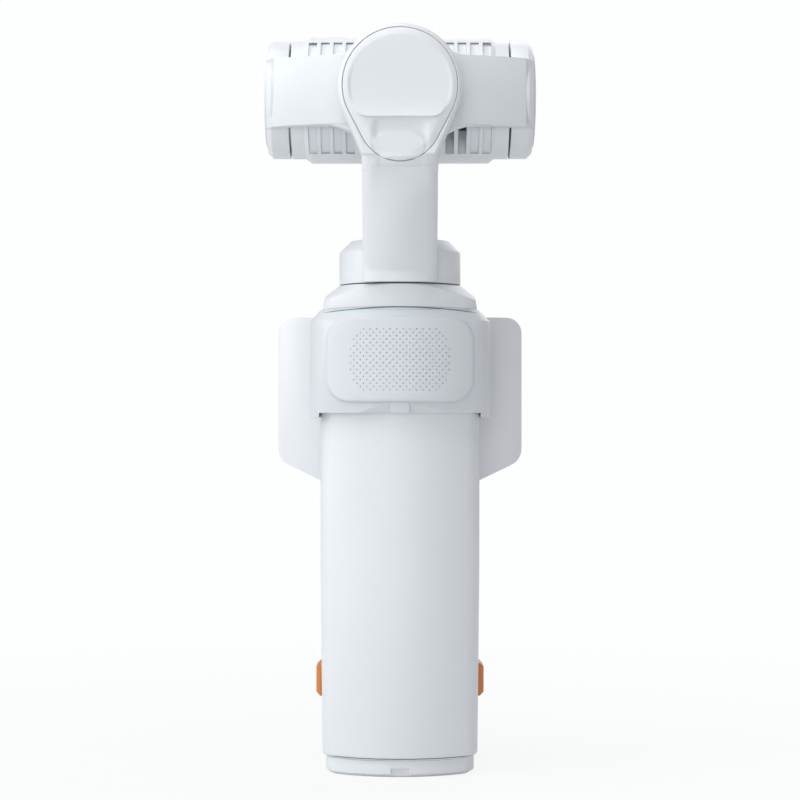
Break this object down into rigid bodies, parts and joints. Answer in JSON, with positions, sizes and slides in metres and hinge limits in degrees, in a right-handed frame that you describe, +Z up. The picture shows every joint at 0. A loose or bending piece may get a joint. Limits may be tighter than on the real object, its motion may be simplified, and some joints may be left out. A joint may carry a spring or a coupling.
{
  "type": "gimbal camera",
  "caption": "Hand-held camera: a barrel-shaped camera head on a three-axis motor gimbal above a slim grip with a clip-on screen module.",
  "frame": {"origin": "on the pan axis, at the mouth of the tripod socket in the flat base", "axes": "+Z up along the pan axis; +Y towards the lenses and the screen; +X to the right seen from the back of the grip"},
  "size_m": [0.0652, 0.0563, 0.1787],
  "materials": {
    "white_plastic": "satin",
    "frosted_plastic": "satin",
    "screen_plastic": "satin",
    "orange_plastic": "satin",
    "dark_plastic": "satin",
    "lens_metal": "satin",
    "lens_glass": "polished",
    "black_glass": "polished",
    "aluminium": "satin",
    "steel": "satin",
    "copper": "satin",
    "brass": "satin",
    "circuit_board": "satin",
    "cell_wrap": "satin",
    "rubber": "matt"
  },
  "bodies": {
    "handle": {"grip_housing": "white_plastic", "base_cap": "white_plastic", "tripod_socket": "brass", "data_port": "steel", "base_screws": "steel", "battery_cage": "dark_plastic", "battery": "cell_wrap", "grip_board": "circuit_board", "contact_block": "dark_plastic", "loudspeaker": "dark_plastic", "clip_band": "frosted_plastic", "perforated_cover": "white_plastic", "pan_collar": "white_plastic", "pan_stator": "copper", "pan_bearings": "steel", "module_back_shell": "screen_plastic", "module_bezel": "screen_plastic", "display_panel": "dark_plastic", "screen_glass": "black_glass", "module_battery": "cell_wrap", "module_board": "circuit_board", "stick_socket": "dark_plastic", "key_switches": "steel"},
    "pan_arm": {"pan_arm": "white_plastic", "arm_cover": "white_plastic", "motor_board": "circuit_board", "pan_rotor": "steel", "pan_shaft": "steel", "roll_stator": "copper", "roll_bearings": "steel"},
    "roll_yoke": {"yoke": "white_plastic", "left_cheek_cover": "white_plastic", "right_cheek_cover": "white_plastic", "roll_rotor": "steel", "roll_shaft": "steel", "tilt_stator": "copper", "tilt_bearings": "steel"},
    "camera_head": {"camera_barrel": "white_plastic", "face_plate": "dark_plastic", "left_end_plate": "white_plastic", "right_end_plate": "white_plastic", "tilt_rotor": "steel", "tilt_shaft": "steel", "main_lens": "lens_metal", "main_lens_glass": "lens_glass", "second_lens": "lens_metal", "second_lens_glass": "lens_glass", "sensor_board": "circuit_board", "heat_sink": "aluminium"},
    "left_release": {"left_release_button": "orange_plastic", "left_latch": "dark_plastic", "left_button_spring": "steel"},
    "right_release": {"right_release_button": "orange_plastic", "right_latch": "dark_plastic", "right_button_spring": "steel"},
    "record_button": {"record_button": "orange_plastic"},
    "function_button": {"function_button": "screen_plastic"},
    "power_button": {"power_button": "screen_plastic"},
    "stick_cradle": {"stick_cradle": "dark_plastic"},
    "thumb_stick": {"thumb_stick": "rubber"}
  },
  "joints": [
    {"name": "pan", "type": "hinge", "parent": "handle", "child": "pan_arm", "pos_m": [0, 0, 0.118], "axis": [0, 0, 1], "range_deg": [-235, 58]},
    {"name": "roll", "type": "hinge", "parent": "pan_arm", "child": "roll_yoke", "pos_m": [0, -0.022, 0.1629], "axis": [0, 1, 0], "range_deg": [-45, 45]},
    {"name": "tilt", "type": "hinge", "parent": "roll_yoke", "child": "camera_head", "pos_m": [0, 0, 0.1634], "axis": [1, 0, 0], "range_deg": [-100, 70]},
    {"name": "left_release_press", "type": "slide", "parent": "handle", "child": "left_release", "axis": [1, 0, 0], "range_m": [0, 0.001], "stiffness_N_per_m": 400, "springref_m": -0.001},
    {"name": "right_release_press", "type": "slide", "parent": "handle", "child": "right_release", "axis": [-1, 0, 0], "range_m": [0, 0.001], "stiffness_N_per_m": 400, "springref_m": -0.001},
    {"name": "record_press", "type": "slide", "parent": "handle", "child": "record_button", "axis": [0, -1, 0], "range_m": [0, 0.0004], "stiffness_N_per_m": 900, "springref_m": -0.0004},
    {"name": "function_press", "type": "slide", "parent": "handle", "child": "function_button", "axis": [0, -1, 0], "range_m": [0, 0.0004], "stiffness_N_per_m": 900, "springref_m": -0.0004},
    {"name": "power_press", "type": "slide", "parent": "handle", "child": "power_button", "axis": [0, -1, 0], "range_m": [0, 0.0004], "stiffness_N_per_m": 900, "springref_m": -0.0004},
    {"name": "stick_up_down", "type": "hinge", "parent": "handle", "child": "stick_cradle", "pos_m": [0, 0.0189, 0.058], "axis": [1, 0, 0], "range_deg": [-14, 14], "stiffness_Nm_per_rad": 0.01},
    {"name": "stick_left_right", "type": "hinge", "parent": "stick_cradle", "child": "thumb_stick", "pos_m": [0, 0.0189, 0.058], "axis": [0, 0, 1], "range_deg": [-14, 14], "stiffness_Nm_per_rad": 0.01}
  ]
}
